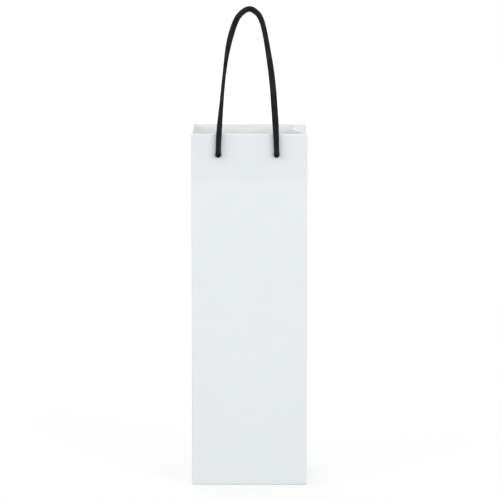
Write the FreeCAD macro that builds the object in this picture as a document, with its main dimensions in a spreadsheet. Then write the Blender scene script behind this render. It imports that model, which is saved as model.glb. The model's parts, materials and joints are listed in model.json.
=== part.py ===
"""Bottle carrier: a tall gusseted paper gift bag with two cord handles.

Lengths are millimetres and +Z is up. The origin is the middle of the base on the surface
that the bag stands on, and the front panel faces -Y. The bag is one folded sheet, so each
panel between two creases is a piece of its own, and the turned top edge, the cards behind
the holes, the loose board in the base, the knots and the cord loops are pieces too.
"""
import FreeCAD, Part
import math
import os
import Sketcher

Vector = FreeCAD.Vector

# Driving dimensions, in millimetres.
SIZES = {
    "bag_width": 123.0,
    "bag_depth": 90.0,
    "bag_height": 380.0,
    "paper": 0.4,
    "hem_depth": 50.0,
    "gusset_fold_height": 180.0,
    "left_gusset_fold": 1.0,
    "right_gusset_fold": 16.0,
    "seam_lap": 15.0,
    "flap_overlap": 14.0,
    "flap_tip_width": 16.0,
    "side_flap_depth": 46.0,
    "side_flap_tip_width": 50.0,
    "card": 0.8,
    "card_height": 46.0,
    "card_side_gap": 2.0,
    "board": 1.2,
    "board_clearance": 0.6,
    "board_seat_gap": 0.2,
    "hole_spacing": 61.5,
    "hole_shift": 2.0,
    "hole_drop": 22.0,
    "hole_clearance": 0.5,
    "cord_diameter": 5.5,
    "swing_clearance": 0.3,
    "knot_diameter": 13.0,
    "knot_length": 11.0,
    "knot_rounding": 3.5,
    "tail_length": 12.0,
}

# Stack of layers at the holes: panel, card and turned-in hem.
WALL = "(2 * Sizes.paper + Sizes.card)"
# Layers of folded paper under the loose board: back flap, front flap and side flaps.
FLOOR = "(3 * Sizes.paper)"
INNER_HALF_WIDTH = "(Sizes.bag_width / 2 - Sizes.paper)"
INNER_HALF_DEPTH = "(Sizes.bag_depth / 2 - Sizes.paper)"
HOLE_HEIGHT = "(Sizes.bag_height - Sizes.hole_drop)"
HOLE_SIZE = "(Sizes.cord_diameter + Sizes.hole_clearance)"

# An arc of a cord reaches this share of the shorter of its two runs.
ARC_SHARE = 0.45
# A knot's rounding takes at most this share of the face that it runs into.
ROUNDING_SHARE = 0.9

# Routes of the two cord loops, from hole to hole: across, inwards and up from the middle
# of the line through the two holes' mouths. The front loop stands up to a soft point.
FRONT_ROUTE = (
    (-30.75, 0.0, 0.0),
    (-30.3, 0.0, 19.5),
    (-27.75, 1.5, 48.0),
    (-24.8, 5.0, 81.5),
    (-20.4, 9.5, 114.5),
    (-13.8, 12.0, 137.0),
    (-8.2, 13.0, 147.2),
    (2.0, 13.5, 153.9),
    (11.0, 13.0, 147.9),
    (14.6, 12.4, 141.4),
    (17.2, 11.7, 132.8),
    (20.75, 9.5, 114.5),
    (25.9, 5.0, 81.5),
    (28.5, 1.5, 48.0),
    (30.3, 0.0, 19.5),
    (30.75, 0.0, 0.0),
)
# The back loop hangs down behind the back panel, in a round bow.
BACK_ROUTE = (
    (-30.75, 0.0, 0.0),
    (-31.4, 0.0, -22.0),
    (-33.5, 0.0, -54.0),
    (-34.3, 0.0, -88.0),
    (-32.5, 0.0, -118.0),
    (-20.0, 0.0, -136.0),
    (0.8, 0.0, -142.5),
    (21.5, 0.0, -135.5),
    (33.5, 0.0, -117.5),
    (34.8, 0.0, -88.0),
    (33.2, 0.0, -54.0),
    (31.2, 0.0, -22.0),
    (30.75, 0.0, 0.0),
)

doc = FreeCAD.newDocument("bottle_carrier")
sheet = doc.addObject("Spreadsheet::Sheet", "Sizes")
for row, (alias, value) in enumerate(SIZES.items(), start=1):
    sheet.set(f"A{row}", alias)
    sheet.set(f"B{row}", str(value))
    sheet.setAlias(f"B{row}", alias)
doc.recompute()

pieces = []


def number(expression):
    """The value of an expression of sheet sizes."""
    return float(sheet.evalExpression(str(expression)))


def new_body(label):
    """An empty body that becomes one piece of the bag."""
    body = doc.addObject("PartDesign::Body", label)
    body.Label = label
    pieces.append(body)
    return body


def place(piece, across="0", along="0", up="0"):
    """Ties a piece's position to the sheet."""
    piece.setExpression("Placement.Base.x", across)
    piece.setExpression("Placement.Base.y", along)
    piece.setExpression("Placement.Base.z", up)


def new_sketch(body, plane):
    """An empty sketch on one of the body's own origin planes."""
    sketch = body.newObject("Sketcher::SketchObject", f"{body.Name}_sketch")
    support = next(f for f in body.Origin.OriginFeatures if f.Role == plane)
    sketch.AttachmentSupport = [(support, "")]
    sketch.MapMode = "FlatFace"
    return sketch


def tie(sketch, constraint, expression):
    """Adds a constraint and binds its value to the sheet."""
    index = sketch.addConstraint(constraint)
    sketch.setExpression(f"Constraints[{index}]", str(expression))


def tie_point(sketch, geometry, vertex, corner):
    """Holds a point of the sketch at two expressions measured from the origin."""
    across, up = corner
    tie(sketch, Sketcher.Constraint("DistanceX", -1, 1, geometry, vertex, number(across)), across)
    tie(sketch, Sketcher.Constraint("DistanceY", -1, 1, geometry, vertex, number(up)), up)


def draw_outline(sketch, corners):
    """A closed outline of straight edges through corners given as expressions."""
    points = [Vector(number(across), number(up), 0) for across, up in corners]
    lines = []
    for start, end in zip(points, points[1:] + points[:1]):
        lines.append(sketch.addGeometry(Part.LineSegment(start, end)))
    for line, following in zip(lines, lines[1:] + lines[:1]):
        sketch.addConstraint(Sketcher.Constraint("Coincident", line, 2, following, 1))
    for line, corner in zip(lines, corners):
        tie_point(sketch, line, 1, corner)


def draw_circle(sketch, centre, size):
    """A circle whose centre and diameter are expressions."""
    middle = Vector(number(centre[0]), number(centre[1]), 0)
    circle = sketch.addGeometry(Part.Circle(middle, Vector(0, 0, 1), number(size) / 2))
    tie_point(sketch, circle, 3, centre)
    tie(sketch, Sketcher.Constraint("Diameter", circle, number(size)), size)


def pad(body, sketch, length, reverse=False):
    """Thickens a sketch into a solid."""
    feature = body.newObject("PartDesign::Pad", f"{body.Name}_pad")
    feature.Profile = sketch
    feature.setExpression("Length", str(length))
    feature.Reversed = reverse
    return feature


def box_corners(left, right, low, high):
    """The four corners of an upright rectangle."""
    return [(left, low), (right, low), (right, high), (left, high)]


def draw_cord_holes(sketch, side):
    """A cord's pair of round holes, a little left of the bag's middle; the back is drawn half turned."""
    shift = {"front": "-Sizes.hole_shift", "back": "Sizes.hole_shift"}[side]
    for half in ("- Sizes.hole_spacing / 2", "+ Sizes.hole_spacing / 2"):
        draw_circle(sketch, (f"{shift} {half}", HOLE_HEIGHT), HOLE_SIZE)


def place_in_wall(body, side, inset, across="0", up="0"):
    """Sets a piece of the front or back wall at a depth behind the outer face."""
    if side == "back":
        body.Placement.Rotation = FreeCAD.Rotation(Vector(0, 0, 1), 180)
    sign = {"front": "-1", "back": "1"}[side]
    place(body, across, f"{sign} * (Sizes.bag_depth / 2 - {inset})", up)


def make_panel(side):
    """Front or back panel of the sheet, punched for the cord."""
    body = new_body(f"{side}_panel")
    sketch = new_sketch(body, "XZ_Plane")
    draw_outline(
        sketch, box_corners("-Sizes.bag_width / 2", "Sizes.bag_width / 2", "0", "Sizes.bag_height")
    )
    draw_cord_holes(sketch, side)
    pad(body, sketch, "Sizes.paper", reverse=True)
    place_in_wall(body, side, "0")


def make_handle_card(side):
    """Stiff card that spreads the cord's pull, hidden inside the turned-in hem."""
    body = new_body(f"{side}_handle_card")
    sketch = new_sketch(body, "XZ_Plane")
    reach = f"({INNER_HALF_WIDTH} - Sizes.card_side_gap)"
    top = "(Sizes.bag_height - Sizes.paper)"
    draw_outline(sketch, box_corners(f"-{reach}", reach, f"{top} - Sizes.card_height", top))
    draw_cord_holes(sketch, side)
    pad(body, sketch, "Sizes.card", reverse=True)
    place_in_wall(body, side, "Sizes.paper")


def make_hem(side):
    """Top edge of the sheet, turned over the card and glued down inside."""
    body = new_body(f"{side}_hem")
    low = "Sizes.bag_height - Sizes.hem_depth"
    ends = (f"-{INNER_HALF_WIDTH}", INNER_HALF_WIDTH)
    strip = new_sketch(body, "XZ_Plane")
    draw_outline(strip, box_corners(*ends, low, "Sizes.bag_height"))
    draw_cord_holes(strip, side)
    pad(body, strip, "Sizes.paper", reverse=True)
    turn = new_sketch(body, "XZ_Plane")
    draw_outline(turn, box_corners(*ends, "Sizes.bag_height - Sizes.paper", "Sizes.bag_height"))
    pad(body, turn, "Sizes.card")
    place_in_wall(body, side, "(Sizes.paper + Sizes.card)")


def new_shape(label, shape, place_at):
    """A piece whose solid is worked out here, set in its place."""
    piece = doc.addObject("Part::Feature", label)
    piece.Label = label
    piece.Shape = shape
    piece.Placement.Base = place_at
    pieces.append(piece)


def gusset_face(side):
    """Middle of a gusset's outer face at the base, and the direction into the bag."""
    inward = {"left": 1, "right": -1}[side]
    return Vector(-inward * number("Sizes.bag_width / 2"), 0, 0), Vector(inward, 0, 0)


def gusset_sheet(side, half):
    """Half a gusset: flat up to a slanting crease, and above it drawn in along the middle."""
    sign = {"front": -1, "rear": 1}[half]
    inward = gusset_face(side)[1]
    edge = sign * number(INNER_HALF_DEPTH)
    corner = sign * number(f"Sizes.bag_depth / 2 - {WALL}")
    rim = number("Sizes.bag_height")
    crease_foot = Vector(0, 0, rim - number("Sizes.gusset_fold_height"))
    crease_top = Vector(0, 0, rim) + inward * number(f"Sizes.{side}_gusset_fold")
    rim_corner = Vector(0, corner, rim)
    flat = [Vector(), Vector(0, edge, 0), Vector(0, edge, rim), rim_corner, crease_foot]
    folded = [rim_corner, crease_top, crease_foot]
    plates = []
    for facet in (flat, folded):
        face = Part.Face(Part.makePolygon(facet + facet[:1]))
        plates.append(face.extrude(inward * number("Sizes.paper")))
    return plates[0].fuse(plates[1]).removeSplitter()


def make_gusset_half(side, half):
    """One of the two strips that a side gusset folds into along its middle crease."""
    new_shape(f"{side}_gusset_{half}", gusset_sheet(side, half), gusset_face(side)[0])


def make_side_hem(side):
    """Top edge of a gusset, turned in between the front and back hems."""
    middle, inward = gusset_face(side)
    both = gusset_sheet(side, "front").fuse(gusset_sheet(side, "rear"))
    both.translate(inward * number("Sizes.paper"))
    reach = number(f"Sizes.bag_depth / 2 - {WALL}")
    width, depth = number("Sizes.bag_width"), number("Sizes.hem_depth")
    low = Vector(-width / 2, -reach, number("Sizes.bag_height") - depth)
    strip = both.common(Part.makeBox(width, 2 * reach, depth, low))
    new_shape(f"{side}_hem", strip.removeSplitter(), middle)


def make_seam_flap():
    """Glue lap that closes the tube, on the inside of the back panel's right edge."""
    body = new_body("seam_flap")
    sketch = new_sketch(body, "XZ_Plane")
    left = f"{INNER_HALF_WIDTH} - Sizes.seam_lap"
    top = "Sizes.bag_height - Sizes.hem_depth"
    draw_outline(sketch, box_corners(left, INNER_HALF_WIDTH, FLOOR, top))
    pad(body, sketch, "Sizes.paper", reverse=True)
    place(body, along=f"{INNER_HALF_DEPTH} - Sizes.paper")


def make_bottom_flap(side):
    """Base flap of the front or back panel, mitred to a narrow tip past the middle."""
    body = new_body(f"{side}_bottom_flap")
    sign = {"front": "-1", "back": "1"}[side]
    crease = f"{sign} * {INNER_HALF_DEPTH}"
    tip = f"-({sign}) * Sizes.flap_overlap / 2"
    corners = [
        (f"-{INNER_HALF_WIDTH}", crease),
        (INNER_HALF_WIDTH, crease),
        ("Sizes.flap_tip_width / 2", tip),
        ("-Sizes.flap_tip_width / 2", tip),
    ]
    sketch = new_sketch(body, "XY_Plane")
    draw_outline(sketch, corners)
    pad(body, sketch, "Sizes.paper")
    layers = {"back": "0", "front": "Sizes.paper"}
    place(body, up=layers[side])


def make_side_bottom_flap(side):
    """Base flap of a gusset, folded in first so that it lies under the board."""
    body = new_body(f"{side}_bottom_flap")
    sign = {"left": "-1", "right": "1"}[side]
    crease = f"{sign} * {INNER_HALF_WIDTH}"
    tip = f"{sign} * ({INNER_HALF_WIDTH} - Sizes.side_flap_depth)"
    corners = [
        (crease, f"-{INNER_HALF_DEPTH}"),
        (tip, "-Sizes.side_flap_tip_width / 2"),
        (tip, "Sizes.side_flap_tip_width / 2"),
        (crease, INNER_HALF_DEPTH),
    ]
    sketch = new_sketch(body, "XY_Plane")
    draw_outline(sketch, corners)
    pad(body, sketch, "Sizes.paper")
    place(body, up="2 * Sizes.paper")


def make_bottom_board():
    """Loose board on the folded base, small enough to lift past the hem."""
    body = new_body("bottom_board")
    across = f"({INNER_HALF_WIDTH} - Sizes.paper - Sizes.board_clearance)"
    along = f"(Sizes.bag_depth / 2 - {WALL} - Sizes.board_clearance)"
    sketch = new_sketch(body, "XY_Plane")
    draw_outline(sketch, box_corners(f"-{across}", across, f"-{along}", along))
    pad(body, sketch, "Sizes.board")
    place(body, up=f"{FLOOR} + Sizes.board_seat_gap")


def rim_edges(shape, radius):
    """Names of the round edges of one radius."""
    names = []
    for index, edge in enumerate(shape.Edges, start=1):
        if isinstance(edge.Curve, Part.Circle) and math.isclose(edge.Curve.Radius, radius):
            names.append(f"Edge{index}")
    return names


def make_knot(side, end):
    """Cord end in its hole, with the stopper knot and the tail inside the bag."""
    body = new_body(f"{side}_{end}_knot")
    cord, knot = "Sizes.cord_diameter / 2", "Sizes.knot_diameter / 2"
    profile = [
        ("0", f"-{WALL}"),
        (cord, f"-{WALL}"),
        (cord, "0"),
        (knot, "0"),
        (knot, "Sizes.knot_length"),
        ("0", "Sizes.knot_length"),
    ]
    sketch = new_sketch(body, "XY_Plane")
    draw_outline(sketch, profile)
    turned = body.newObject("PartDesign::Revolution", f"{body.Name}_turned")
    turned.Profile = sketch
    turned.ReferenceAxis = (sketch, ["V_Axis"])
    doc.recompute()
    rounded = body.newObject("PartDesign::Fillet", f"{body.Name}_rounded")
    rounded.Base = (turned, rim_edges(turned.Shape, number(knot)))
    shoulder = f"{ROUNDING_SHARE} * ({knot} - {cord})"
    flank = f"{ROUNDING_SHARE} * Sizes.knot_length / 2"
    rounded.setExpression("Radius", f"min(Sizes.knot_rounding; {shoulder}; {flank})")
    tail = new_sketch(body, "XY_Plane")
    draw_circle(tail, ("0", "Sizes.knot_length / 2"), "Sizes.cord_diameter")
    pad(body, tail, f"{knot} + Sizes.tail_length", reverse=True)
    sign = {"left": "-1", "right": "1"}[end]
    hole = f"{sign} * Sizes.hole_spacing / 2 - Sizes.hole_shift"
    place_in_wall(body, side, WALL, hole, HOLE_HEIGHT)


def rounded_path(points):
    """Edges of a route of straight runs joined by tangent arcs, and the arcs' radii."""
    edges, radii = [], []
    start = points[0]
    for before, corner, after in zip(points, points[1:], points[2:]):
        back = before - corner
        ahead = after - corner
        reach = ARC_SHARE * min(back.Length, ahead.Length)
        half_turn = (math.pi - back.getAngle(ahead)) / 2
        radius = reach / math.tan(half_turn)
        back.normalize()
        ahead.normalize()
        first, last = corner + back * reach, corner + ahead * reach
        bisector = (back + ahead).normalize()
        middle = corner + bisector * (radius / math.cos(half_turn) - radius)
        edges.append(Part.LineSegment(start, first).toShape())
        edges.append(Part.Arc(first, middle, last).toShape())
        radii.append(radius)
        start = last
    edges.append(Part.LineSegment(start, points[-1]).toShape())
    return edges, radii


def make_cord(side, route):
    """Cord loop outside the wall, with a round end in the mouth of each hole."""
    radius = number("Sizes.cord_diameter / 2")
    inward = {"front": 1, "back": -1}[side]
    points = [Vector(across, inward * lean, up) for across, lean, up in route]
    edges, radii = rounded_path(points)
    path = Part.Wire(edges)
    section = Part.Wire(Part.Circle(points[0], points[1] - points[0], radius).toShape())
    tube = path.makePipeShell([section], True, False)
    domes = []
    for tip, neighbour in ((points[0], points[1]), (points[-1], points[-2])):
        domes.append(Part.makeSphere(radius, tip, tip - neighbour, 0, 90, 360))
    outward = number("Sizes.bag_depth / 2 + Sizes.cord_diameter / 2 + Sizes.swing_clearance")
    hinge = Vector(-number("Sizes.hole_shift"), -inward * outward, number(HOLE_HEIGHT))
    new_shape(f"{side}_handle_cord", tube.fuse(domes).removeSplitter(), hinge)
    expected = math.pi * radius**2 * path.Length
    print(f"{side} cord: length {path.Length:.1f}, radii {[round(r, 1) for r in radii]}")
    print(f"{side} cord: tube volume {tube.Volume:.1f}, section times length {expected:.1f}")


for wall in ("front", "back"):
    make_panel(wall)
    make_handle_card(wall)
    make_hem(wall)
    make_bottom_flap(wall)
    for end in ("left", "right"):
        make_knot(wall, end)
for wall in ("left", "right"):
    for half in ("front", "rear"):
        make_gusset_half(wall, half)
    make_side_hem(wall)
    make_side_bottom_flap(wall)
make_seam_flap()
make_bottom_board()
make_cord("front", FRONT_ROUTE)
make_cord("back", BACK_ROUTE)

doc.recompute()
for item in doc.Objects:
    if {"Invalid", "Error"} & set(item.State):
        raise RuntimeError(f"{item.Label} failed: {item.State}")
for piece in pieces:
    if piece.Shape.isNull() or not piece.Shape.isValid() or len(piece.Shape.Solids) != 1:
        raise RuntimeError(f"{piece.Label} is not one sound solid")

os.makedirs("parts", exist_ok=True)
for piece in pieces:
    piece.Shape.exportStep(f"parts/{piece.Label}.step")
print(f"{len(pieces)} pieces written")
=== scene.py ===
"""Looks of a white paper bag for one bottle, with black cord handles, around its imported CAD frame."""
import json
import math

import bpy
import numpy as np
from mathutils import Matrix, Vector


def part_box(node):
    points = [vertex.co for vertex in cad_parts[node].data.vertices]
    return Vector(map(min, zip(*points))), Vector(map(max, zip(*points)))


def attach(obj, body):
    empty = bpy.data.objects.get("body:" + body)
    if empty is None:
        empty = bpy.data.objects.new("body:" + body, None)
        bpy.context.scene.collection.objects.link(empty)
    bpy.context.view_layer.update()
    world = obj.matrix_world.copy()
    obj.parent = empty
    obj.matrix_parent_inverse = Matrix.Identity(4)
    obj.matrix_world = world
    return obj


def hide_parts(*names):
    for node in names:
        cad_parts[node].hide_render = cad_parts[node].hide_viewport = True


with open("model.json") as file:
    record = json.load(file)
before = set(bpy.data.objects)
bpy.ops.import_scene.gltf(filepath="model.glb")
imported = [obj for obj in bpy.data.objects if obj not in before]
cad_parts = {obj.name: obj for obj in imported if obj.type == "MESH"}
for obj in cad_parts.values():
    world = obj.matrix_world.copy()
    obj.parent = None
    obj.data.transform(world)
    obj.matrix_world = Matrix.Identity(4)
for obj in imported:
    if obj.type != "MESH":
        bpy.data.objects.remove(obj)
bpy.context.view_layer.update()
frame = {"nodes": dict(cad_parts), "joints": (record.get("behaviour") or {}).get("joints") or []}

MM = 0.001
# Samples closer than this, as a share of what they are measured in, count as one.
TINY = 1e-6


def corners(cad_node):
    """Lowest and highest corner of a CAD node at rest, in metres."""
    low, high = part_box(cad_node)
    return np.array(low), np.array(high)


# The bag as the frame gives it.
panel_low, panel_high = corners("front_panel")
HALF_WIDTH = panel_high[0]
HALF_DEPTH = -panel_low[1]
RIM = panel_high[2]
PAPER = panel_high[1] - panel_low[1]
card_low, card_high = corners("front_handle_card")
CARD = card_high[1] - card_low[1]
HEM_EDGE = corners("front_hem")[0][2]
RIGHT_FOLD = HALF_WIDTH - PAPER - corners("right_gusset_front")[0][0]
LEFT_FOLD = HALF_WIDTH - PAPER + corners("left_gusset_front")[1][0]
HINGES = {joint["child"]: np.array(joint["pos_m"]) for joint in frame["joints"] if joint["type"] == "hinge"}
HOLE_HEIGHT = HINGES["front_handle"][2]
HOLE_MIDDLE = HINGES["front_handle"][0]
HOLE_APART = np.mean([edge[0] for edge in corners("front_right_knot")]) - HOLE_MIDDLE

# The folded sheet: its rounded corners, base fold and rim, and the holes that the cord goes through, with
# the square patch of samples round each.
CORNER = 2.0 * MM
BASE_FOLD = 0.8 * MM
HEM_LOOSENESS = 0.05 * MM
RIM_ROLL_FACE = PAPER + CARD / 2
RIM_ROLL_SIDE = PAPER + HEM_LOOSENESS
RIM_SQUARENESS = 0.5
CORD = 5.5 * MM
HOLE_CLEARANCE = 0.5 * MM
HOLE_RADIUS = (CORD + HOLE_CLEARANCE) / 2
HOLE_PATCH = 7.0 * MM
HOLE_SHARE = 0.5

# Cells and samples of the sheet's grid: across a face, up a hem, along a side, round a corner and so on.
PATCH_CELLS = 16
FACE_CELLS = (10, PATCH_CELLS, 18, PATCH_CELLS, 10)
HEM_CELLS = (5, PATCH_CELLS, 6)
SIDE_SAMPLES = 69
SIDE_CROWDING = 0.6
CORNER_SAMPLES = 9
WALL_SAMPLES = 72
HEEL_SAMPLES = 5
OUTER_ROLL_SAMPLES = 17
INNER_ROLL_SAMPLES = 9

# How the panels bow and wave, and how the gussets are drawn in.
FRONT_BOW = -0.75 * MM
BACK_BOW = 1.1 * MM
PANEL_WAVE = 0.3 * MM
WAVE_SLANT = 0.8
GUSSET_FOLD_HEIGHT = 180 * MM
FOLD_FOOT = RIM - GUSSET_FOLD_HEIGHT
CREASE_SOFTNESS = 0.028
FACET_SOFTNESS = 0.025
CREASE_MEMORY = 0.5 * MM
MEMORY_FADE = 0.2
CORNER_HOLD = 24

# The base flaps: half the width at the tip, how far they reach, and how they climb onto each other.
FLAP_SIDE_GAP = 1.2 * MM
FLAP_TIP_HALF = 8 * MM
FLAP_PAST_MIDDLE = 7 * MM
SIDE_FLAP_TIP_HALF = 25 * MM
SIDE_FLAP_REACH = 46 * MM
FLAP_CLIMB = 9 * MM
FLAP_CROWN = 0.06 * MM
FULL_CROWN_LIFT = 0.4 * MM
FLAP_CROWDING = 1.3
FLAP_TURN_SAMPLES = 6
FLAP_RUN_SAMPLES = 40
FLAP_WIDTH_SAMPLES = 41

# The glued lap and the loose board.
LAP_DEPTH = 1.55 * PAPER
LAP_BELOW_HEM = 1.0 * MM
LAP_SAMPLES = 9
BOARD_WARP = 0.10 * MM
BOARD_WARP_ROOM = 0.2 * MM
BOARD_EDGE = 0.25 * MM
BOARD_SAMPLES_ACROSS = 49
BOARD_SAMPLES_ALONG = 37

# The cord's lengths from hole to hole in metres, its flattening, its grid and its braid.
FRONT_GIRTH_SHARE = 0.93
BACK_FLATTENING = 0.5 * MM
LINE_RESOLUTION = 32
LOOP_SAMPLES_AROUND = 60
LOOP_STEP = 0.28 * MM
END_SAMPLES_AROUND = 40
END_STEP = 0.34 * MM
CAP_SAMPLES = 9
CAP_FIRST_ANGLE = 0.12
BRAID_LAY = 17 * MM
BRAID_STRANDS = 8
BRAID_HEIGHT = 0.42 * MM
BRAID_MIDDLE = 0.55
CROSSING_RISE = 0.6
GAP_LEVEL = 0.1
STRAND_LEVEL = 1.6

# Routes of the two handles: across the panel, towards the bag's inside, and up, from the middle of the
# line through the two hole mouths.
FRONT_ROUTE = np.array([
    (-0.03075, 0.0000, 0.0000), (-0.0303, 0.0000, 0.0195), (-0.02775, 0.0015, 0.0480),
    (-0.0248, 0.0050, 0.0815), (-0.0204, 0.0095, 0.1145), (-0.0138, 0.0120, 0.1370),
    (-0.0082, 0.0130, 0.1472), (0.0020, 0.0135, 0.1539), (0.0110, 0.0130, 0.1479),
    (0.0146, 0.0124, 0.1414), (0.0172, 0.0117, 0.1328), (0.02075, 0.0095, 0.1145),
    (0.0259, 0.0050, 0.0815), (0.0285, 0.0015, 0.0480), (0.0303, 0.0000, 0.0195),
    (0.03075, 0.0000, 0.0000),
])
BACK_ROUTE = np.array([
    (-0.03075, 0.0, 0.0000), (-0.0314, 0.0, -0.0220), (-0.0335, 0.0, -0.0540), (-0.0343, 0.0, -0.0880),
    (-0.0325, 0.0, -0.1180), (-0.0200, 0.0, -0.1360), (0.0008, 0.0, -0.1425), (0.0215, 0.0, -0.1355),
    (0.0335, 0.0, -0.1175), (0.0348, 0.0, -0.0880), (0.0332, 0.0, -0.0540), (0.0312, 0.0, -0.0220),
    (0.03075, 0.0, 0.0000),
])
# Width of the front loop in millimetres, at shares of its length.
FRONT_WIDTHS = (
    (0.00, 5.5), (0.03, 5.5), (0.07, 5.6), (0.10, 5.5), (0.13, 5.0), (0.16, 4.45), (0.20, 3.85), (0.26, 3.6),
    (0.31, 4.15), (0.35, 5.3), (0.39, 6.1), (0.43, 6.0), (0.47, 5.8), (0.52, 5.9), (0.58, 5.35), (0.62, 5.3),
    (0.66, 5.6), (0.70, 6.1), (0.74, 6.4), (0.82, 6.7), (0.90, 6.6), (0.96, 5.6), (1.00, 5.4),
)

# The stopper knots: the trefoil's unit across and its half depth, how it is turned and opened, the room
# between its line and the hem, the straight lead into it and the turn of the cord's face as shares of its
# depth, the tail's points in millimetres from where it leaves the knot, and the cord's half thickness in
# millimetres, at shares of the length.
KNOT_UNIT = 1.65 * MM
KNOT_HALF_DEPTH = 1.9 * MM
KNOT_TURN = -math.radians(56.0)
KNOT_START = 0.16
KNOT_END = math.tau - 0.30
KNOT_POINTS = 26
KNOT_ROOM = 2.2 * MM
LEAD_SHARES = (0.0, 0.35, 0.75)
FACE_TURN_START_SHARE = 0.55
FACE_TURN_SHARE = 0.9
TAIL_POINTS = ((0.2, -0.4, -3.0), (0.5, -0.3, -8.0), (1.0, 0.2, -13.0), (1.2, 0.4, -17.0))
END_THICKNESS = ((0.0, 2.65), (0.09, 2.6), (0.15, 2.1), (0.78, 2.1), (0.86, 2.5), (1.0, 2.55))

# Tones of the paper: filmed outside, hem lining, bare fibre, and painted shade along the pressed creases.
# The film is drawn greyer by PAINTED_HEM_BAND_SHADE above the hem's edge, with a soft change, as painted
# shade.
FILM_PALE = (0.800, 0.833, 0.856)
FILM_DARK = (0.786, 0.820, 0.845)
HEM_LINING = (0.817, 0.833, 0.829)
FIBRE_PALE = (0.800, 0.806, 0.798)
FIBRE_DARK = (0.750, 0.756, 0.748)
# The crease tone below is painted shade along the pressed creases, mixed in at its share.
PAINTED_CREASE_SHADE = (0.62, 0.645, 0.665)
# Painted shade: how much greyer the film is drawn above the hem's edge.
PAINTED_HEM_BAND_SHADE = (0.973, 0.973, 0.973)
HEM_BLUR = 4.0 * MM
CREASE_CORE = 0.15 * MM
CREASE_EDGE = 0.7 * MM
PAINTED_CREASE_SHARE = 0.35
CREASE_DEPTH = 1.5
PEEL_SHARE = 0.35
PAPER_IOR = 1.45

# Tones of the boards, whose flecks have FLECK_SHARE of the dark tone, and of the cord's yarn, fresh and worn,
# with painted shade in the gaps between its strands, and the fine lines across each.
CARD_PALE = (0.46, 0.45, 0.42)
CARD_DARK = (0.36, 0.35, 0.325)
BOARD_PALE = (0.74, 0.735, 0.71)
BOARD_DARK = (0.66, 0.655, 0.63)
FLECK_SHARE = 0.55
FLECK_STRENGTH = 0.45
YARN_FRESH = (0.0190, 0.0187, 0.0197)
YARN_WORN = (0.0560, 0.0552, 0.0565)
PAINTED_YARN_GAP_SHADE = (0.0010, 0.0010, 0.0012)
FILAMENTS = 6.0
FILAMENT_SHARE = 0.3

# Each grain: its cells per metre, detail and roughness. The boards' pulp has cells of their own.
MOTTLE_GRAIN = (38.0, 4.0, 0.6)
PEEL_GRAIN = (420.0, 2.0, 0.5)
FIBRE_GRAIN = (1700.0, 3.0, 0.7)
FUZZ_GRAIN = (2600.0, 2.0, 0.5)
WEAR_GRAIN = (90.0, 3.0, 0.5)
FLOOR_GRAIN = (3.0, 2.0, 0.5)
PULP_GRAIN = (5.0, 0.65)
FLECK_GRAIN = (2.0, 0.5)
CARD_CELLS = 260.0
BOARD_CELLS = 180.0
FLECKS_PER_CELL = 6.0

# The lowest and highest value that counts, of a grain in general, of the mottling's tone, of the flecks,
# of the yarn's relief and of its threads.
GRAIN_RANGE = (0.3, 0.7)
MOTTLE_RANGE = (0.35, 0.65)
FLECK_RANGE = (0.66, 0.74)
RELIEF_RANGE = (0.45, 0.95)
THREAD_RANGE = (0.0, 1.3)

# Roughness of each finish at those two values, and the strength and depth of its bump.
FILM_ROUGHNESS = (0.36, 0.46)
FIBRE_ROUGHNESS = (0.72, 0.86)
BOARD_ROUGHNESS = (0.75, 0.90)
YARN_ROUGHNESS = (0.50, 0.68)
PAPER_BUMP = (0.12, 0.15 * MM)
BOARD_BUMP = (0.25, 0.20 * MM)
YARN_BUMP = (0.35, 0.06 * MM)

# The studio, in metres and watts.
FLOOR_REACH = 9.0
FLOOR_SAMPLES = 25
FLOOR_PALE = (0.28, 0.28, 0.28)
FLOOR_DARK = (0.26, 0.26, 0.26)
FLOOR_SHADOW_TONE = (0.30, 0.30, 0.30, 1.0)
FLOOR_GLOW_NEAR = 0.635
FLOOR_GLOW_FAR = 0.72
GLOW_NEAR_REACH = 0.5
GLOW_FAR_REACH = 3.0
WHITE = (1.0, 1.0, 1.0, 1.0)
SKY_AT_HORIZON = 1.25
SKY_OVERHEAD = 0.90
SOFT_BOX_SIZE = 2.2
SOFT_BOX_AIM = np.array([0.0, 0.0, 0.25])
SOFT_BOXES = (
    ("right_soft_box", 48.0, (2.6, -2.8, 1.6)),
    ("left_soft_box", 30.0, (-3.0, -2.0, 1.6)),
    ("rear_soft_box", 46.0, (-0.9, 3.8, 1.8)),
)
CAMERA_PLACE = (0.0140, -2.6400, 0.70217)
CAMERA_DOWN = 0.17012
CAMERA_TURN = 0.00513
CAMERA_LENS = 179.05
CAMERA_SENSOR = 36.0
CAMERA_CLIP_END = 100.0


def smooth_step(value):
    """0 below 0, 1 above 1, and 3v^2 - 2v^3 between."""
    value = np.clip(value, 0.0, 1.0)
    return value * value * (3.0 - 2.0 * value)


def grid_faces(rows, columns, close_rows=False, close_columns=False):
    """Quads between neighbouring samples of a grid, where sample (row, column) is row * columns + column."""
    row, column = np.meshgrid(
        np.arange(rows if close_rows else rows - 1),
        np.arange(columns if close_columns else columns - 1),
        indexing="ij",
    )
    next_row = (row + 1) % rows
    next_column = (column + 1) % columns
    quads = np.stack([
        row * columns + column,
        row * columns + next_column,
        next_row * columns + next_column,
        next_row * columns + column,
    ], axis=-1)
    return quads.reshape(-1, 4)


def grid_points(x, y, z):
    """A grid of points from three arrays that spread over its rows and columns."""
    return np.stack(np.broadcast_arrays(x, y, z), axis=-1)


def walked_length(line):
    """Length along a line up to each of its points."""
    return np.concatenate([[0.0], np.cumsum(np.linalg.norm(np.diff(line, axis=0), axis=1))])


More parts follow.
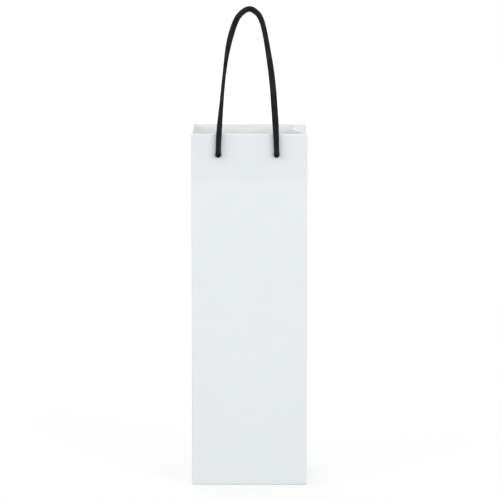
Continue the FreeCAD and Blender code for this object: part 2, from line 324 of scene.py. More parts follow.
def set_piece(name, points, faces, finish, body, nodes, marks=None):
    """Put points and faces into a smooth-shaded piece that rides on a body and stands for CAD nodes.

    marks holds one number per point under each name, for the finish to read."""
    mesh = bpy.data.meshes.new(name)
    mesh.from_pydata(points.reshape(-1, 3).tolist(), [], faces)
    mesh.polygons.foreach_set("use_smooth", np.ones(len(mesh.polygons), dtype=bool))
    for mark_name, values in (marks or {}).items():
        mesh.attributes.new(mark_name, "FLOAT", "POINT").data.foreach_set("value", np.ravel(values))
    mesh.materials.append(finish)
    mesh.update()
    piece = bpy.data.objects.new(name, mesh)
    bpy.context.scene.collection.objects.link(piece)
    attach(piece, body)
    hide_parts(*nodes)
    return piece


def new_finish(name):
    """A material with an empty Principled shader, its node tree and its Object coordinates."""
    material = bpy.data.materials.new(name)
    material.use_nodes = True
    tree = material.node_tree
    shader = tree.nodes["Principled BSDF"]
    place = tree.nodes.new("ShaderNodeTexCoord").outputs["Object"]
    return material, tree, shader, place


def node(tree, kind, inputs=None, **settings):
    """Add a node, set its settings, and give each named input a number or a link."""
    made = tree.nodes.new(kind)
    for key, value in settings.items():
        setattr(made, key, value)
    for key, value in (inputs or {}).items():
        if isinstance(value, bpy.types.NodeSocket):
            tree.links.new(value, made.inputs[key])
        else:
            made.inputs[key].default_value = value
    return made


def mark(tree, name):
    """The number that the mesh carries under a name."""
    return node(tree, "ShaderNodeAttribute", attribute_name=name).outputs["Fac"]


def grain(tree, place, cells, detail, rough):
    """Noise of a given number of cells per metre."""
    inputs = {"Vector": place, "Scale": cells, "Detail": detail, "Roughness": rough}
    return node(tree, "ShaderNodeTexNoise", inputs).outputs["Fac"]


def math_node(tree, operation, first, second=0.0):
    """Arithmetic on one or two numbers."""
    return node(tree, "ShaderNodeMath", {0: first, 1: second}, operation=operation).outputs[0]


def between(tree, value, low, high, first=0.0, last=1.0):
    """Map low..high onto first..last, held at the ends."""
    limits = {"Value": value, "From Min": low, "From Max": high, "To Min": first, "To Max": last}
    return node(tree, "ShaderNodeMapRange", limits).outputs["Result"]


def mixed(tree, share, first, second):
    """Number that goes with share from the first to the second."""
    return node(tree, "ShaderNodeMix", {0: share, 2: first, 3: second}).outputs[0]


def tint(tree, share, first, second, blend="MIX"):
    """Colour that goes with share from the first to the second or, where blend says so, to their product."""
    made = node(tree, "ShaderNodeMix", {"Factor": share}, data_type="RGBA", blend_type=blend)
    for socket, colour in ((made.inputs[6], first), (made.inputs[7], second)):
        if isinstance(colour, bpy.types.NodeSocket):
            tree.links.new(colour, socket)
        else:
            socket.default_value = (*colour, 1.0)
    return made.outputs[2]


def finish_surface(tree, shader, colour, roughness, height, bump):
    """Give a shader its colour and roughness, and a bump of a strength and a depth that follows height."""
    strength, depth = bump
    bumps = node(tree, "ShaderNodeBump", {"Height": height, "Strength": strength, "Distance": depth})
    tree.links.new(colour, shader.inputs["Base Color"])
    tree.links.new(roughness, shader.inputs["Roughness"])
    tree.links.new(bumps.outputs["Normal"], shader.inputs["Normal"])


def seen_as_background(tree):
    """1 for the rays that show a background: the camera's own, and those mirrored or let through."""
    ray = node(tree, "ShaderNodeLightPath")
    seen = math_node(tree, "MAXIMUM", ray.outputs["Is Camera Ray"], ray.outputs["Is Glossy Ray"])
    return math_node(tree, "MAXIMUM", seen, ray.outputs["Is Transmission Ray"])


def white_paper(name, creased):
    """White paper with a satin film on one side and bare fibre on the other.

    The mark called bare is 1 on the unfilmed side, and margin is 1 on the turned-in hem, which is a more
    neutral white. The film has faint mottling and a fine orange peel, and above the hem's edge it is drawn a
    little greyer as painted shade. The bare side has a rougher fibre grain. Where creased, the pressed lines
    of the side folds, at y = 0 and along |y| + z = half the depth, are dented by the bump and darkened as
    painted shade."""
    material, tree, shader, place = new_finish(name)
    axes = node(tree, "ShaderNodeSeparateXYZ", {0: place})
    bare = mark(tree, "bare")
    mottle = grain(tree, place, *MOTTLE_GRAIN)
    peel = grain(tree, place, *PEEL_GRAIN)
    fibre = grain(tree, place, *FIBRE_GRAIN)

    film = tint(tree, between(tree, mottle, *MOTTLE_RANGE), FILM_PALE, FILM_DARK)
    # Painted shade: the film is drawn greyer above the hem's edge.
    above_hem_edge = between(tree, axes.outputs["Z"], HEM_EDGE - HEM_BLUR, HEM_EDGE + HEM_BLUR)
    film = tint(tree, above_hem_edge, film, PAINTED_HEM_BAND_SHADE, "MULTIPLY")
    film = tint(tree, mark(tree, "margin"), film, HEM_LINING)
    fibres = tint(tree, between(tree, fibre, *GRAIN_RANGE), FIBRE_PALE, FIBRE_DARK)
    colour = tint(tree, bare, film, fibres)

    satin = between(tree, mottle, *GRAIN_RANGE, *FILM_ROUGHNESS)
    matt = between(tree, fibre, *GRAIN_RANGE, *FIBRE_ROUGHNESS)
    roughness = mixed(tree, bare, satin, matt)
    height = mixed(tree, bare, math_node(tree, "MULTIPLY", peel, PEEL_SHARE), fibre)
    if creased:
        side = math_node(tree, "ABSOLUTE", axes.outputs["Y"])
        slant = math_node(tree, "SUBTRACT", math_node(tree, "ADD", side, axes.outputs["Z"]), HALF_DEPTH)
        nearest = math_node(tree, "MINIMUM", side, math_node(tree, "ABSOLUTE", slant))
        # Near each crease: painted shade in the colour, and a real dent in the bump.
        crease_shade_and_dent = between(tree, nearest, CREASE_CORE, CREASE_EDGE, 1.0, 0.0)
        colour = tint(tree, math_node(tree, "MULTIPLY", crease_shade_and_dent, PAINTED_CREASE_SHARE), colour, PAINTED_CREASE_SHADE)
        height = math_node(tree, "SUBTRACT", height, math_node(tree, "MULTIPLY", crease_shade_and_dent, CREASE_DEPTH))
    finish_surface(tree, shader, colour, roughness, height, PAPER_BUMP)
    shader.inputs["IOR"].default_value = PAPER_IOR
    return material


def stiff_board(name, pale, dark, cells):
    """Pressed board: two close tones of pulp with darker flecks, and a coarse soft grain."""
    material, tree, shader, place = new_finish(name)
    pulp = grain(tree, place, cells, *PULP_GRAIN)
    flecks = grain(tree, place, cells * FLECKS_PER_CELL, *FLECK_GRAIN)
    colour = tint(tree, between(tree, pulp, *GRAIN_RANGE), pale, dark)
    speck = between(tree, flecks, *FLECK_RANGE, 0.0, FLECK_STRENGTH)
    colour = tint(tree, speck, colour, tuple(FLECK_SHARE * tone for tone in dark))
    roughness = between(tree, pulp, *GRAIN_RANGE, *BOARD_ROUGHNESS)
    finish_surface(tree, shader, colour, roughness, pulp, BOARD_BUMP)
    return material


def black_braid(name):
    """Black cord: relief says how high the yarn stands, and the gaps between the strands are darkened as
    painted shade; yarn counts across a strand, so its filaments show as fine lines along it."""
    material, tree, shader, place = new_finish(name)
    filaments = math_node(tree, "MULTIPLY", mark(tree, "yarn"), FILAMENTS * math.tau)
    lines = math_node(tree, "SINE", filaments)
    fuzz = grain(tree, place, *FUZZ_GRAIN)
    wear = between(tree, grain(tree, place, *WEAR_GRAIN), *GRAIN_RANGE)
    thread = math_node(tree, "ADD", math_node(tree, "MULTIPLY", lines, FILAMENT_SHARE), fuzz)
    high = between(tree, mark(tree, "relief"), *RELIEF_RANGE)
    # Painted shade: the yarn is drawn near black where the relief is low, in the gaps between strands.
    colour = tint(tree, high, PAINTED_YARN_GAP_SHADE, tint(tree, wear, YARN_FRESH, YARN_WORN))
    roughness = between(tree, thread, *THREAD_RANGE, *YARN_ROUGHNESS)
    finish_surface(tree, shader, colour, roughness, thread, YARN_BUMP)
    shader.inputs["Specular IOR Level"].default_value = 0.04
    shader.inputs["Sheen Weight"].default_value = 0.03
    shader.inputs["Sheen Roughness"].default_value = 0.4
    return material


BAG_PAPER = white_paper("satin_white_paper", True)
FLAP_PAPER = white_paper("satin_white_flap_paper", False)
CARD_PULP = stiff_board("grey_handle_card", CARD_PALE, CARD_DARK, CARD_CELLS)
BOARD_PULP = stiff_board("white_lined_board", BOARD_PALE, BOARD_DARK, BOARD_CELLS)
CORD_BRAID = black_braid("black_braided_cord")


def stepped(stops, cells):
    """Samples from the first stop to the last, with a number of even cells from each to the next."""
    runs = [np.linspace(a, b, n + 1)[:-1] for a, b, n in zip(stops, stops[1:], cells)]
    return np.concatenate(runs + [[stops[-1]]])


def bag_round():
    """Once round the bag seen from above, from the left end of the front: an anchor and a turn per sample.

    A layer that lies inset (a, b) behind the outer face passes through
    anchor + turn * (corner - a, corner - b), so all layers share their anchors and each corner is an arc.
    Along a side the samples are closest at the middle crease and the corners."""
    flat_x = HALF_WIDTH - CORNER
    flat_y = HALF_DEPTH - CORNER
    patches = [hole + edge for hole in (-HOLE_APART, HOLE_APART) for edge in (-HOLE_PATCH, HOLE_PATCH)]
    face = stepped([-flat_x, *(HOLE_MIDDLE + patch for patch in patches), flat_x], FACE_CELLS)
    even = np.linspace(-1.0, 1.0, SIDE_SAMPLES)
    side = flat_y * (even - SIDE_CROWDING * np.sin(math.tau * even) / math.tau)
    bend = np.linspace(0.0, math.pi / 2, CORNER_SAMPLES)[1:-1]
    anchors, turns = [], []
    for quarter in range(4):
        angle = (quarter - 1) * math.pi / 2
        out = np.array([round(math.cos(angle)), round(math.sin(angle))])
        ahead = np.array([-out[1], out[0]])
        run, reach = ((face, flat_y), (side, flat_x), (-face[::-1], flat_y), (side, flat_x))[quarter]
        anchors.append(run[:, None] * ahead + reach * out)
        turns.append(np.tile(out, (len(run), 1)))
        anchors.append(np.tile(run[-1] * ahead + reach * out, (len(bend), 1)))
        turns.append(np.cos(bend)[:, None] * out + np.sin(bend)[:, None] * ahead)
    return np.concatenate(anchors), np.concatenate(turns)


def squared_turn(angle):
    """Cosine and sine of a half turn with both drawn out to the power of RIM_SQUARENESS, so that the turn
    has a flat top and two tight corners, as paper folded over card has."""
    cosine = np.sign(np.cos(angle)) * np.abs(np.cos(angle)) ** RIM_SQUARENESS
    return cosine, np.sin(angle) ** RIM_SQUARENESS


def sheet_profile():
    """Once round the sheet's own section: outer face up, over the rolled rim, down the hem, round its raw
    edge, up behind it, back under the roll and down the inner face.

    Gives the inset from the outer face on the sides, that on the front and back, the height, and the rows
    of each layer."""
    below = np.linspace(0.0, 1.0, WALL_SAMPLES)[:-1] * (HEM_EDGE - BASE_FOLD) + BASE_FOLD
    roll_foot = RIM - RIM_ROLL_FACE
    top = stepped([HEM_EDGE, HOLE_HEIGHT - HOLE_PATCH, HOLE_HEIGHT + HOLE_PATCH, roll_foot], HEM_CELLS)
    wall = np.concatenate([below, top])
    heel = np.linspace(math.pi / 4, 0.0, HEEL_SAMPLES)[:-1]
    heel_back = heel[::-1]
    outer_in, outer_up = squared_turn(np.linspace(0.0, math.pi, OUTER_ROLL_SAMPLES)[1:-1])
    inner_in, inner_up = squared_turn(np.linspace(math.pi, 0.0, INNER_ROLL_SAMPLES)[1:-1])
    thin_face = RIM_ROLL_FACE - PAPER
    thin_side = RIM_ROLL_SIDE - PAPER
    thin_base = BASE_FOLD - PAPER
    heel_in = BASE_FOLD * (1 - np.cos(heel))
    heel_back_in = BASE_FOLD - thin_base * np.cos(heel_back)
    layers = {
        "heel": (heel_in, heel_in, BASE_FOLD * (1 - np.sin(heel))),
        "face": (0.0, 0.0, wall),
        "roll": (RIM_ROLL_SIDE * (1 - outer_in), RIM_ROLL_FACE * (1 - outer_in),
                 roll_foot + RIM_ROLL_FACE * outer_up),
        "hem": (2 * RIM_ROLL_SIDE, 2 * RIM_ROLL_FACE, top[::-1]),
        "hem_back": (2 * RIM_ROLL_SIDE - PAPER, 2 * RIM_ROLL_FACE - PAPER, top),
        "roll_back": (RIM_ROLL_SIDE - thin_side * inner_in, RIM_ROLL_FACE - thin_face * inner_in,
                      roll_foot + thin_face * inner_up),
        "lining": (PAPER, PAPER, wall[::-1]),
        "heel_back": (heel_back_in, heel_back_in, BASE_FOLD - thin_base * np.sin(heel_back)),
    }
    section = np.concatenate([np.stack(np.broadcast_arrays(*layer)) for layer in layers.values()], axis=1)
    ends = np.cumsum([len(layer[2]) for layer in layers.values()])
    rows = {name: slice(end - len(layers[name][2]), end) for name, end in zip(layers, ends)}
    return *section, rows


def panel_swell(out, across, height):
    """How far the front (out = -1) and back (out = 1) stand away from flat: a long shallow bow between the
    corner creases, with a weaker double wave up the panel, fading out at the creases, base and hem."""
    share = across / (HALF_WIDTH - CORNER)
    up = np.clip(height / HEM_EDGE, 0.0, 1.0)
    bow = np.where(out < 0, FRONT_BOW, BACK_BOW) * np.sin(math.pi * up)
    wave = PANEL_WAVE * np.sin(2 * math.pi * up + WAVE_SLANT * share) * np.sin(math.pi * up)
    return (1.0 - share ** 2) * (bow + wave)


def gusset_draw(side, across, height):
    """How far a side is drawn in: flat facets that meet on the middle crease and end on the slanting creases
    from its foot to the rim's corners, with all creases rounded, and a slight memory of the crease below."""
    fold = np.where(side > 0, RIGHT_FOLD, LEFT_FOLD)
    share = np.abs(across) / (HALF_DEPTH - CORNER)
    whole = math.hypot(1.0, CREASE_SOFTNESS) - CREASE_SOFTNESS
    away = (np.hypot(share, CREASE_SOFTNESS) - CREASE_SOFTNESS) / whole
    wedge = (height - FOLD_FOOT) / (RIM - FOLD_FOOT) - away
    facets = fold * 0.5 * (wedge + np.sqrt(wedge ** 2 + FACET_SOFTNESS ** 2))
    fading = smooth_step(height / (2 * HALF_DEPTH)) * (1 - smooth_step(wedge / MEMORY_FADE))
    memory = CREASE_MEMORY * (1.0 - away) ** 2 * fading
    return (facets + memory) * (1.0 - share ** CORNER_HOLD)


def round_holes(x, z, flat):
    """Pull the square patch of samples round each cord hole from the square onto a circle.

    A sample at c of the way out of the patch, on the square, goes to (1 - q) * circle + q * square, where q
    runs from 0 at the hole's edge, where c is HOLE_SHARE, to 1 at the patch's. Also gives c."""
    dx = x - HOLE_MIDDLE - np.where(x < HOLE_MIDDLE, -HOLE_APART, HOLE_APART)
    dz = z - HOLE_HEIGHT
    out = np.maximum(np.abs(dx), np.abs(dz)) / HOLE_PATCH
    patch = flat & (out < 1.0 - TINY)
    square = 1.0 / np.where(out > TINY, out, 1.0)
    circle = HOLE_RADIUS / np.maximum(np.hypot(dx, dz), TINY * MM)
    q = np.clip((out - HOLE_SHARE) / (1.0 - HOLE_SHARE), 0.0, 1.0)
    stretch = np.where(patch, (1 - q) * circle + q * square - 1.0, 0.0)
    return x + stretch * dx, z + stretch * dz, out


def hole_ring(points, on_edge, layer, hole_x):
    """Numbers of the samples on one hole's edge in one layer of the sheet, in order round the hole."""
    columns = on_edge.shape[1]
    number = (np.argwhere(on_edge[layer]) * [columns, 1]).sum(axis=1) + layer.start * columns
    spot = points[number]
    angle = np.arctan2(spot[:, 2] - HOLE_HEIGHT, spot[:, 0] - hole_x)
    return number[np.argsort(angle)]


def hole_walls(points, on_edge, anchor, rows):
    """Quads that line the punched holes, from each hole's edge on one face of the sheet to the other face."""
    walls = []
    for outer, inner in (("face", "lining"), ("hem", "hem_back")):
        for right in (False, True):
            hole_x = HOLE_MIDDLE + (HOLE_APART if right else -HOLE_APART)
            for back in (False, True):
                near = ((anchor[:, 0] > HOLE_MIDDLE) == right) & ((anchor[:, 1] > 0) == back)
                rings = [hole_ring(points, on_edge & near, rows[layer], hole_x) for layer in (outer, inner)]
                rings.sort(key=lambda ring: points[ring[0], 1])
                first, second = rings
                walls.append(np.stack([first, np.roll(first, -1), np.roll(second, -1), second], axis=1))
    return np.concatenate(walls)


def paper_shell():
    """The bag's sheet as one closed surface: bag_round carried along sheet_profile.

    The panels are bowed by panel_swell, the sides drawn in by gusset_draw, and the grid rounded by
    round_holes. The faces inside a hole are left out, and hole_walls line it."""
    anchor, turn = bag_round()
    inset_side, inset_face, height, rows = sheet_profile()
    columns = len(anchor)
    x = anchor[None, :, 0] + turn[None, :, 0] * (CORNER - inset_side[:, None])
    y = anchor[None, :, 1] + turn[None, :, 1] * (CORNER - inset_face[:, None])
    z = np.repeat(height[:, None], columns, axis=1)
    y = y + turn[None, :, 1] * panel_swell(turn[None, :, 1], anchor[None, :, 0], z)
    x = x - turn[None, :, 0] * gusset_draw(turn[None, :, 0], anchor[None, :, 1], z)
    flat = (turn[:, 0] == 0)[None, :]
    x, z, out = round_holes(x, z, flat)
    points = grid_points(x, y, z).reshape(-1, 3)

    faces = grid_faces(len(height), columns, True, True)
    inside = (flat & (out < HOLE_SHARE + TINY)).ravel()
    faces = faces[~inside[faces].all(axis=1)]
    on_edge = flat & (np.abs(out - HOLE_SHARE) < TINY)
    faces = np.concatenate([faces, hole_walls(points, on_edge, anchor, rows)])
    used, faces = np.unique(faces, return_inverse=True)
    bare = np.zeros(len(height))
    bare[rows["hem_back"].start:] = 1.0
    margin = np.zeros(len(height))
    margin[rows["hem"]] = 1.0
    marks = {"bare": np.repeat(bare, columns)[used], "margin": np.repeat(margin, columns)[used]}
    nodes = ["front_panel", "back_panel", "front_hem", "back_hem", "left_hem", "right_hem"]
    nodes += ["left_gusset_front", "left_gusset_rear", "right_gusset_front", "right_gusset_rear"]
    faces = faces.reshape(-1, 4).tolist()
    return set_piece("paper_shell", points[used], faces, BAG_PAPER, "bag", nodes, marks)


def thicken(piece, thickness, bevel=0.0):
    """Give an open sheet its thickness, half to each side, and soften its cut edges."""
    solid = piece.modifiers.new("thickness", "SOLIDIFY")
    solid.thickness = thickness
    solid.offset = 0.0
    if bevel:
        soft = piece.modifiers.new("soft_edges", "BEVEL")
        soft.width = bevel
        soft.segments = 2
        soft.limit_method = "ANGLE"


def base_flap(name, stands_for, out, crease_half, tip_half, reach, level):
    """A flap of the folded base: it turns under the wall through the second half of the base fold, then
    runs inwards, narrowing from crease to tip, and rises to its place in the stack of flaps."""
    out = np.array(out)
    ahead = np.array([-out[1], out[0]])
    middle = BASE_FOLD - PAPER / 2
    turn = np.linspace(math.pi / 4, math.pi / 2, FLAP_TURN_SAMPLES)
    run = np.linspace(0.0, 1.0, FLAP_RUN_SAMPLES)[1:] ** FLAP_CROWDING * (reach - BASE_FOLD)
    half = HALF_DEPTH if out[0] == 0 else HALF_WIDTH
    inwards = np.concatenate([BASE_FOLD - middle * np.cos(turn), BASE_FOLD + run])
    lift = level * smooth_step((inwards - BASE_FOLD) / FLAP_CLIMB)
    height = np.concatenate([BASE_FOLD - middle * np.sin(turn), 0 * run + PAPER / 2]) + lift
    wide = crease_half + (tip_half - crease_half) * inwards / reach
    share = np.linspace(-1.0, 1.0, FLAP_WIDTH_SAMPLES)
    crown = FLAP_CROWN * (1 - share ** 2) * smooth_step(lift / FULL_CROWN_LIFT)[:, None]
    points = np.empty((len(inwards), len(share), 3))
    points[..., :2] = (half - inwards)[:, None, None] * out + (wide[:, None] * share)[..., None] * ahead
    points[..., 2] = height[:, None] + crown
    faces = grid_faces(*points.shape[:2]).tolist()
    piece = set_piece(name, points, faces, FLAP_PAPER, "bag", [stands_for])
    thicken(piece, PAPER)
    return piece


def seam_lap():
    """The glued lap on the inner face of the back: a strip that follows the back panel's own swell."""
    low, high = corners("seam_flap")
    x = np.linspace(low[0], HALF_WIDTH - CORNER, LAP_SAMPLES)[None, :]
    z = np.linspace(low[2], high[2] - LAP_BELOW_HEM, WALL_SAMPLES)[:, None]
    points = grid_points(x, HALF_DEPTH - LAP_DEPTH + panel_swell(1, x, z), z)
    faces = grid_faces(WALL_SAMPLES, LAP_SAMPLES).tolist()
    marks = {"bare": np.ones(WALL_SAMPLES * LAP_SAMPLES)}
    piece = set_piece("glued_seam_lap", points, faces, FLAP_PAPER, "bag", ["seam_flap"], marks)
    thicken(piece, PAPER)
    return piece


def bottle_board():
    """The loose board on the base: a flat sheet with a very slight warp, its cut edges softened."""
    low, high = corners("bottom_board")
    x = np.linspace(low[0], high[0], BOARD_SAMPLES_ACROSS)[None, :]
    y = np.linspace(low[1], high[1], BOARD_SAMPLES_ALONG)[:, None]
    dome = np.cos(math.pi * x / high[0] / 2) * np.cos(math.pi * y / high[1] / 2)
    points = grid_points(x, y, (low[2] + high[2]) / 2 + BOARD_WARP * (dome - 0.5))
    faces = grid_faces(BOARD_SAMPLES_ALONG, BOARD_SAMPLES_ACROSS).tolist()
    nodes = ["bottom_board"]
    piece = set_piece("loose_base_board", points, faces, BOARD_PULP, "loose_board", nodes)
    thicken(piece, high[2] - low[2] - BOARD_WARP_ROOM, BOARD_EDGE)
    return piece


def smooth_line(route):
    """Points along the smooth NURBS line whose control points are the route's."""
    curve = bpy.data.curves.new("cord_line", "CURVE")
    curve.dimensions = "3D"
    curve.resolution_u = LINE_RESOLUTION
    spline = curve.splines.new("NURBS")
    spline.points.add(len(route) - 1)
    spline.points.foreach_set("co", np.column_stack([route, np.ones(len(route))]).ravel())
    spline.order_u = 3
    spline.use_endpoint_u = True
    holder = bpy.data.objects.new("cord_line", curve)
    mesh = bpy.data.meshes.new_from_object(holder)
    line = np.empty(len(mesh.vertices) * 3)
    mesh.vertices.foreach_get("co", line)
    bpy.data.objects.remove(holder)
    bpy.data.curves.remove(curve)
    bpy.data.meshes.remove(mesh)
    return line.reshape(-1, 3)


def braid_relief(along, around):
    """Height of a braid's surface, from 0 in the gaps to 1 on the strands, and the count across the yarn.

    Strands wind both ways at one turn per lay. Across a strand the height is 1 - (2d)^2, with d the distance
    from its middle in strands. At each crossing one set rises and the other dips by a cosine, in turns, and
    the higher of the two shows."""
    count = BRAID_STRANDS * around / math.tau
    twist = BRAID_STRANDS * along / BRAID_LAY
    first, second = count + twist, count - twist
    nearest_first, nearest_second = np.round(first), np.round(second)
    first_rise = CROSSING_RISE * np.cos(math.pi * (second + nearest_first))
    second_rise = -CROSSING_RISE * np.cos(math.pi * (first + nearest_second))
    over = 1 - (2 * (first - nearest_first)) ** 2 + first_rise
    under = 1 - (2 * (second - nearest_second)) ** 2 + second_rise
    height = np.clip((np.maximum(over, under) - GAP_LEVEL) / (STRAND_LEVEL - GAP_LEVEL), 0.0, 1.0)
    yarn = np.where(over >= under, first - nearest_first, second - nearest_second)
    return height, yarn


def braided_cord(name, line, half_width, half_depth, facing, body, nodes, around, step):
    """A braided cord along a line: at each point an oval of half_width by half_depth, raised by the braid.

    half_width and half_depth are functions of the share of the length. facing is the direction that the
    depth is measured along, one vector per point of the line. Each end is closed by a round cap."""
    walked = walked_length(line)
    length = walked[-1]
    count = int(length / step)
    cap = np.linspace(CAP_FIRST_ANGLE, math.pi / 2, CAP_SAMPLES)[:-1]
    start_round = float(half_width(np.array(0.0)))
    end_round = float(half_width(np.array(1.0)))
    along = np.concatenate([
        -start_round * np.cos(cap),
        np.linspace(0.0, length, count + 1),
        length + end_round * np.cos(cap[::-1]),
    ])
    taper = np.concatenate([np.sin(cap), np.ones(count + 1), np.sin(cap[::-1])])
    held = np.clip(along, 0.0, length)
    slope = np.gradient(line, walked, axis=0)
    centre, hint, ahead = (
        np.stack([np.interp(held, walked, track[:, axis]) for axis in range(3)], axis=1)
        for track in (line, facing, slope)
    )
    ahead /= np.linalg.norm(ahead, axis=1, keepdims=True)
    centre += ahead * (along - held)[:, None]
    across = np.cross(ahead, hint)
    across /= np.linalg.norm(across, axis=1, keepdims=True)
    depth = np.cross(across, ahead)

    angle = np.linspace(0.0, math.tau, around, endpoint=False)
    relief, yarn = braid_relief(along[:, None], angle[None, :])
    relief = relief * taper[:, None]
    raise_by = BRAID_HEIGHT * (relief - BRAID_MIDDLE) * taper[:, None]
    share = held / length
    wide = (half_width(share) * taper)[:, None] + raise_by
    deep = (half_depth(share) * taper)[:, None] + raise_by
    points = (centre[:, None, :] + (wide * np.cos(angle))[..., None] * across[:, None, :]
              + (deep * np.sin(angle))[..., None] * depth[:, None, :])

    past_cap = 1 - np.cos(cap[0])
    poles = np.stack([centre[0] - ahead[0] * start_round * past_cap,
                      centre[-1] + ahead[-1] * end_round * past_cap])
    everything = np.concatenate([points.reshape(-1, 3), poles])
    rows = len(along)
    column = np.arange(around)
    after = (column + 1) % around
    last = (rows - 1) * around
    first_pole, last_pole = rows * around, rows * around + 1
    faces = grid_faces(rows, around, False, True)[:, ::-1].tolist()
    faces += np.column_stack([column, after, np.full(around, first_pole)]).tolist()
    faces += np.column_stack([last + after, last + column, np.full(around, last_pole)]).tolist()
    marks = {"relief": np.append(relief.ravel(), [0.5, 0.5]), "yarn": np.append(yarn.ravel(), [0.0, 0.0])}
    return set_piece(name, everything, faces, CORD_BRAID, body, nodes, marks)


def front_half_width(share):
    """Half of the front loop's width as the photo shows it: the soft braid turns edge-on up the left leg and
    lies flat up the right one, and is round at its holes."""
    shares, widths = zip(*FRONT_WIDTHS)
    return np.interp(share, shares, widths) / 2 * MM


def front_half_depth(share):
    """The soft braid keeps its girth, so it is as deep as it is narrow."""
    return CORD * FRONT_GIRTH_SHARE - front_half_width(share)


def back_half_width(share):
    """Half of the back loop's width: nearly round, a little flat where it hangs free."""
    return (CORD + BACK_FLATTENING * np.sin(math.pi * share) ** 2) / 2


def back_half_depth(share):
    """The girth stays, so the flat part is thinner."""
    return CORD - back_half_width(share)


def end_half_thickness(share):
    """Half a cord end's thickness: loose in the hole, squeezed in the knot, and loose again in the tail."""
    shares, thicknesses = zip(*END_THICKNESS)
    return np.interp(share, shares, thicknesses) * MM


def handle_loop(name, stands_for, route, widths, body):
    """A handle: the braided cord along its route."""
    line = smooth_line(route + HINGES[body])
    facing = np.tile([0.0, 1.0, 0.0], (len(line), 1))
    piece = braided_cord(name, line, *widths, facing, body, [stands_for], LOOP_SAMPLES_AROUND, LOOP_STEP)
    return piece


def stopper_knot(name, stands_for, right, back):
    """A cord end in its hole: straight in from the hinge point, an overhand knot, and a hanging tail.

    The knot is a trefoil, ((2 + cos 3t) cos 2t, (2 + cos 3t) sin 2t) across and up and sin 3t inwards, opened
    at t = 0: the cord comes in there, and the tail leaves just before the trefoil would close."""
    inward = -1.0 if back else 1.0
    side = 1.0 if right else -1.0
    hinge = HINGES["back_handle" if back else "front_handle"]
    t = np.linspace(KNOT_START, KNOT_END, KNOT_POINTS)
    radius = KNOT_UNIT * (2 + np.cos(3 * t))
    across = radius * np.cos(2 * t + KNOT_TURN)
    up = radius * np.sin(2 * t + KNOT_TURN)
    mouth = 3 * KNOT_UNIT * np.array([math.cos(KNOT_TURN), math.sin(KNOT_TURN)])
    knot_depth = HALF_DEPTH - 2 * RIM_ROLL_FACE - KNOT_HALF_DEPTH - KNOT_ROOM
    inside = -hinge[1] * inward - knot_depth
    trefoil = np.column_stack([across - mouth[0], inside + KNOT_HALF_DEPTH * np.sin(3 * t), up - mouth[1]])
    lead = np.outer(LEAD_SHARES, [0.0, inside, 0.0])
    tail = trefoil[-1] + np.array(TAIL_POINTS) * MM
    hole = np.array([HOLE_MIDDLE + side * HOLE_APART, hinge[1], HOLE_HEIGHT])
    line = smooth_line(np.concatenate([lead, trefoil, tail]) * [side, inward, 1.0] + hole)
    bend = smooth_step((walked_length(line) / inside - FACE_TURN_START_SHARE) / FACE_TURN_SHARE)[:, None]
    start_way = np.array([-math.sin(KNOT_TURN) * side, 0.0, math.cos(KNOT_TURN)])
    facing = -start_way * (1 - bend) + np.array([0.0, inward, 0.0]) * bend
    return braided_cord(name, line, end_half_thickness, end_half_thickness, facing, "bag", [stands_for],
                        END_SAMPLES_AROUND, END_STEP)


def main_flap(name, stands_for, out, level):
    """The base flap of the back or the front, which passes the middle."""
    crease_half = HALF_WIDTH - FLAP_SIDE_GAP
    base_flap(name, stands_for, (0, out), crease_half, FLAP_TIP_HALF, HALF_DEPTH + FLAP_PAST_MIDDLE, level)


def side_flap(name, stands_for, out):
    """The base flap of a gusset, which lies above the other two."""
    crease_half = HALF_DEPTH - FLAP_SIDE_GAP
    base_flap(name, stands_for, (out, 0), crease_half, SIDE_FLAP_TIP_HALF, SIDE_FLAP_REACH, 2 * PAPER)


paper_shell()
main_flap("back_base_flap", "back_bottom_flap", 1, 0.0)
main_flap("front_base_flap", "front_bottom_flap", -1, PAPER)
side_flap("left_base_flap", "left_bottom_flap", -1)
side_flap("right_base_flap", "right_bottom_flap", 1)
seam_lap()
bottle_board()
for card_name in ("front_handle_card", "back_handle_card"):
    card_mesh = frame["nodes"][card_name].data
    card_mesh.materials.clear()
    card_mesh.materials.append(CARD_PULP)
handle_loop("front_cord_loop", "front_handle_cord", FRONT_ROUTE,
            (front_half_width, front_half_depth), "front_handle")
handle_loop("back_cord_loop", "back_handle_cord", BACK_ROUTE * [1, -1, 1],
            (back_half_width, back_half_depth), "back_handle")
for knot_right in (False, True):
    for knot_back in (False, True):
        knot_place = ("back_" if knot_back else "front_") + ("right" if knot_right else "left")
        stopper_knot(knot_place + "_cord_end", knot_place + "_knot", knot_right, knot_back)


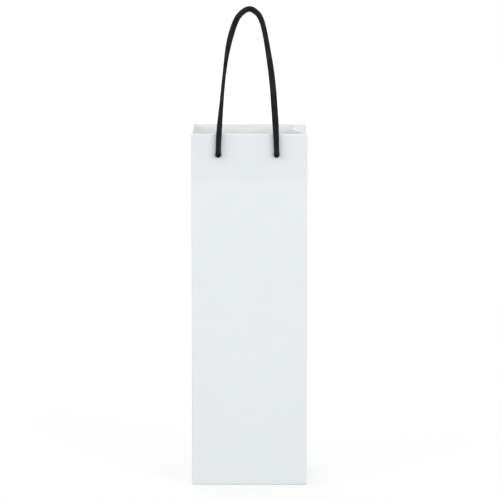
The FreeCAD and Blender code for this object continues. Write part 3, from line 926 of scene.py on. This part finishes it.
def studio_floor():
    """A wide flat floor that looks white to the camera and still shows the bag's soft shadow.

    Its own glow is weaker near the bag, where the lamps light it more, so that it is just white all over."""
    material, tree, shader, place = new_finish("white_studio_floor")
    tone = tint(tree, grain(tree, place, *FLOOR_GRAIN), FLOOR_DARK, FLOOR_PALE)
    tree.links.new(tone, shader.inputs["Base Color"])
    shader.inputs["Roughness"].default_value = 0.9
    shader.inputs["Specular IOR Level"].default_value = 0.0
    seen = seen_as_background(tree)
    shade = node(tree, "ShaderNodeBsdfDiffuse", {"Color": FLOOR_SHADOW_TONE})
    away = node(tree, "ShaderNodeVectorMath", {0: place}, operation="LENGTH").outputs["Value"]
    strength = between(tree, away, GLOW_NEAR_REACH, GLOW_FAR_REACH, FLOOR_GLOW_NEAR, FLOOR_GLOW_FAR)
    glow = node(tree, "ShaderNodeEmission", {"Color": WHITE, "Strength": strength})
    white = node(tree, "ShaderNodeAddShader", {0: shade.outputs[0], 1: glow.outputs[0]})
    surface = node(tree, "ShaderNodeMixShader", {0: seen, 1: shader.outputs[0], 2: white.outputs[0]})
    tree.links.new(surface.outputs[0], tree.nodes["Material Output"].inputs["Surface"])
    spread = np.linspace(-FLOOR_REACH, FLOOR_REACH, FLOOR_SAMPLES)
    points = grid_points(spread[None, :], spread[:, None], 0.0)
    mesh = bpy.data.meshes.new("studio_floor")
    mesh.from_pydata(points.reshape(-1, 3).tolist(), [], grid_faces(FLOOR_SAMPLES, FLOOR_SAMPLES).tolist())
    mesh.materials.append(material)
    floor = bpy.data.objects.new("studio_floor", mesh)
    bpy.context.scene.collection.objects.link(floor)


def studio_light():
    """A pale surround, a little weaker overhead than at the horizon, and three large soft lamps: one at each
    side of the front and one behind."""
    world = bpy.data.worlds.new("pale_surround")
    world.use_nodes = True
    tree = world.node_tree
    direction = node(tree, "ShaderNodeTexCoord").outputs["Generated"]
    way = node(tree, "ShaderNodeSeparateXYZ", {0: direction})
    glow = between(tree, way.outputs["Z"], 0.0, 1.0, SKY_AT_HORIZON, SKY_OVERHEAD)
    sky = tree.nodes["Background"]
    sky.inputs["Color"].default_value = WHITE
    tree.links.new(mixed(tree, seen_as_background(tree), glow, 1.0), sky.inputs["Strength"])
    bpy.context.scene.world = world
    for name, power, spot in SOFT_BOXES:
        lamp = bpy.data.lights.new(name, "AREA")
        lamp.shape = "RECTANGLE"
        lamp.size = SOFT_BOX_SIZE
        lamp.size_y = SOFT_BOX_SIZE
        lamp.energy = power
        soft_box = bpy.data.objects.new(name, lamp)
        soft_box.location = spot
        aim = SOFT_BOX_AIM - np.array(spot)
        lean = math.atan2(math.hypot(aim[0], aim[1]), -aim[2])
        soft_box.rotation_euler = (lean, 0.0, math.atan2(-aim[0], aim[1]))
        bpy.context.scene.collection.objects.link(soft_box)


def photo_camera():
    """The camera at the photo's place, in front of the bag and above its rim, looking a little down."""
    lens = bpy.data.cameras.new("photo_camera")
    lens.sensor_width = CAMERA_SENSOR
    lens.lens = CAMERA_LENS
    lens.clip_end = CAMERA_CLIP_END
    camera = bpy.data.objects.new("photo_camera", lens)
    camera.location = CAMERA_PLACE
    camera.rotation_euler = (math.pi / 2 - CAMERA_DOWN, 0.0, CAMERA_TURN)
    bpy.context.scene.collection.objects.link(camera)
    bpy.context.scene.camera = camera


studio_floor()
studio_light()
photo_camera()
bpy.context.scene.view_settings.view_transform = "Standard"
